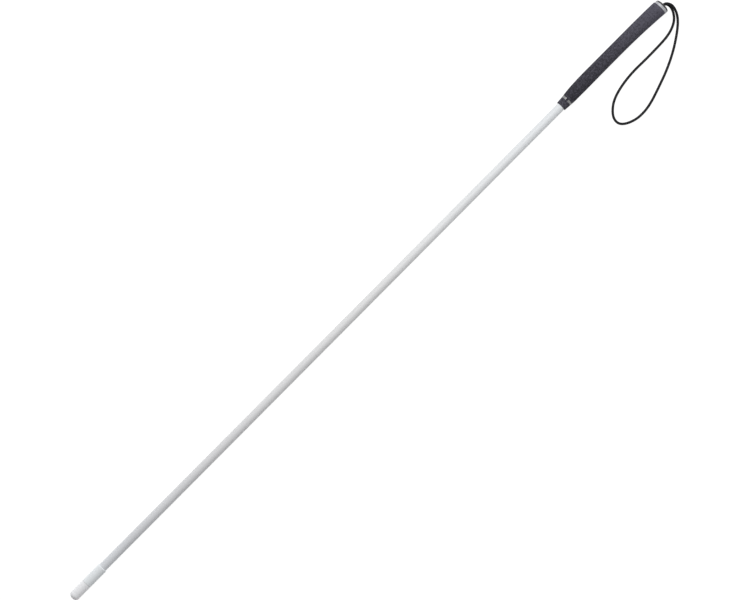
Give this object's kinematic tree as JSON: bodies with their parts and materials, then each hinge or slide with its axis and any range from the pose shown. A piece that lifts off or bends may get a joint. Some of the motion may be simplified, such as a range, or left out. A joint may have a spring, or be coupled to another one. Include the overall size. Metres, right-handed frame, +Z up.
{
  "type": "white cane",
  "caption": "Rigid long white cane with a rounded nylon tip, a flat-fronted rubber grip and an elastic cord wrist loop, lying on its side.",
  "frame": {"origin": "on the floor under the middle of the cane, which lies on its side; the wrist cord isn't counted", "axes": "+X along the shaft from the tip to the butt, +Y to the side that the grip's flat front faces, +Z up"},
  "size_m": [1.5128, 0.1297, 0.0283],
  "materials": {
    "nylon": "satin moulded nylon, very slightly warm white",
    "sleeve_plastic": "smooth white shrink sleeve, faintly cool",
    "fibreglass": "pultruded fibreglass, gloss gel coat",
    "reflective_sheet": "white retroreflective sheeting with a fine beaded face",
    "tape": "double-sided tape",
    "grip_rubber": "matt moulded rubber with a fine dimple texture",
    "silver_paint": "silver paint fill",
    "silver_band": "satin silver band",
    "cap_rubber": "smooth matt black rubber",
    "washer_steel": "zinc plated",
    "elastic_cord": "braided sleeve over a rubber core"
  },
  "bodies": {
    "cane": {"shaft_tube": "fibreglass", "reflective_sheet": "reflective_sheet", "tip_sleeve": "sleeve_plastic", "grip_tape": "tape", "grip_sleeve": "grip_rubber", "mouth_dashes": "silver_paint", "butt_ring": "silver_band", "butt_cap": "cap_rubber", "cord_washer": "washer_steel", "cord_knot": "elastic_cord", "cord_strands": "elastic_cord"},
    "tip": {"nylon_tip": "nylon"},
    "wrist_loop": {"wrist_cord": "elastic_cord"}
  },
  "joints": [
    {"name": "wrist_loop_swing", "type": "hinge", "parent": "cane", "child": "wrist_loop", "pos_m": [0.7527, -0.0017, 0.01415], "axis": [0, 0, 1], "range_deg": [-10, 90]},
    {"name": "tip_pull_off", "type": "slide", "parent": "cane", "child": "tip", "axis": [-1, 0, 0], "range_m": [0, 0.06]}
  ]
}
